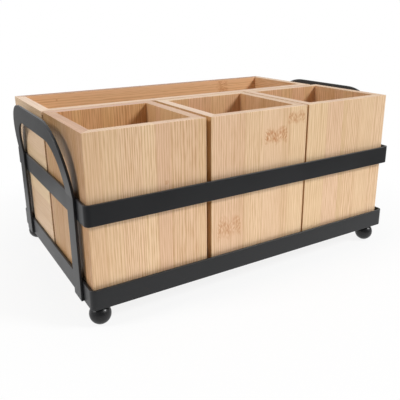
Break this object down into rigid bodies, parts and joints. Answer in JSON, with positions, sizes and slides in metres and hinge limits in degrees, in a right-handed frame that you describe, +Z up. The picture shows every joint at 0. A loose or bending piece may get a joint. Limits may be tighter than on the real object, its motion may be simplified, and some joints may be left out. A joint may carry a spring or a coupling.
{
  "type": "cutlery caddy",
  "caption": "Cutlery caddy: square bamboo cups in a row before a long bamboo box, loose in a black strap-steel frame with leaning arched end handles and ball feet.",
  "frame": {"origin": "on the table, under the middle of the frame", "axes": "+X along the row of cups to the right, +Y from the cups to the rear box, +Z up"},
  "size_m": [0.3224, 0.2006, 0.1474],
  "materials": {
    "bamboo": "satin clear lacquer, fine grain",
    "frame_black": "satin powder coat",
    "foot_black": "gloss paint",
    "screw_steel": "zinc plated"
  },
  "bodies": {
    "frame": {"lower_band": "frame_black", "mid_band": "frame_black", "left_handle": "frame_black", "right_handle": "frame_black", "front_support_strap": "frame_black", "cup_rear_support_strap": "frame_black", "box_front_support_strap": "frame_black", "rear_support_strap": "frame_black", "front_left_foot": "foot_black", "front_right_foot": "foot_black", "rear_left_foot": "foot_black", "rear_right_foot": "foot_black", "foot_screws": "screw_steel"},
    "left_cup": {"left_cup_front": "bamboo", "left_cup_right": "bamboo", "left_cup_back": "bamboo", "left_cup_left": "bamboo", "left_cup_base": "bamboo"},
    "middle_cup": {"middle_cup_front": "bamboo", "middle_cup_right": "bamboo", "middle_cup_back": "bamboo", "middle_cup_left": "bamboo", "middle_cup_base": "bamboo"},
    "right_cup": {"right_cup_front": "bamboo", "right_cup_right": "bamboo", "right_cup_back": "bamboo", "right_cup_left": "bamboo", "right_cup_base": "bamboo"},
    "rear_box": {"rear_box_front": "bamboo", "rear_box_right": "bamboo", "rear_box_back": "bamboo", "rear_box_left": "bamboo", "rear_box_base": "bamboo"}
  },
  "joints": [
    {"name": "left_cup_lift", "type": "slide", "parent": "frame", "child": "left_cup", "axis": [0, 0, 1], "range_m": [0, 0.14]},
    {"name": "middle_cup_lift", "type": "slide", "parent": "frame", "child": "middle_cup", "axis": [0, 0, 1], "range_m": [0, 0.14]},
    {"name": "right_cup_lift", "type": "slide", "parent": "frame", "child": "right_cup", "axis": [0, 0, 1], "range_m": [0, 0.14]},
    {"name": "rear_box_lift", "type": "slide", "parent": "frame", "child": "rear_box", "axis": [0, 0, 1], "range_m": [0, 0.14]}
  ]
}
